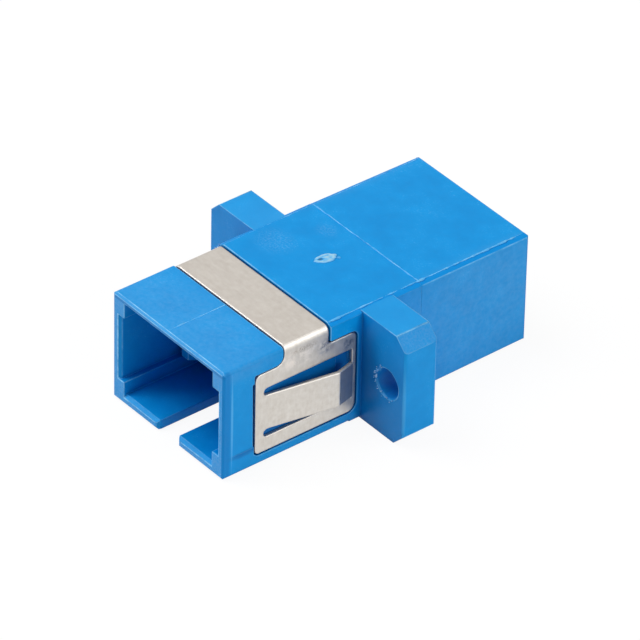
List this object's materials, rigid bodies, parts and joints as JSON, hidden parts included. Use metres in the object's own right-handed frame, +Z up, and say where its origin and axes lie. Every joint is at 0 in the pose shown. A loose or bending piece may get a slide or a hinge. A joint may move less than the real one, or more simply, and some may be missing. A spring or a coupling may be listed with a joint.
{
  "type": "fibre optic adapter",
  "caption": "Panel-mount fibre adapter with square mouths, screw ears, an inner split sleeve and a folded steel spring clip over its back.",
  "frame": {"origin": "centre of the footprint on the resting plane, under the middle of the ears", "axes": "+Y from the front mouth to the rear mouth, +Z up from the key slots to the clip's band, +X across the ears"},
  "size_m": [0.0226, 0.0282, 0.0096],
  "materials": {
    "housing": "moulded, satin",
    "holder": "moulded, satin",
    "sleeve": "ground and polished",
    "clip": "rolled spring sheet"
  },
  "bodies": {
    "root": {"front_housing": "housing", "rear_housing": "housing", "front_sleeve_holder": "holder", "rear_sleeve_holder": "holder", "alignment_sleeve": "sleeve", "mounting_clip": "clip"}
  },
  "joints": []
}
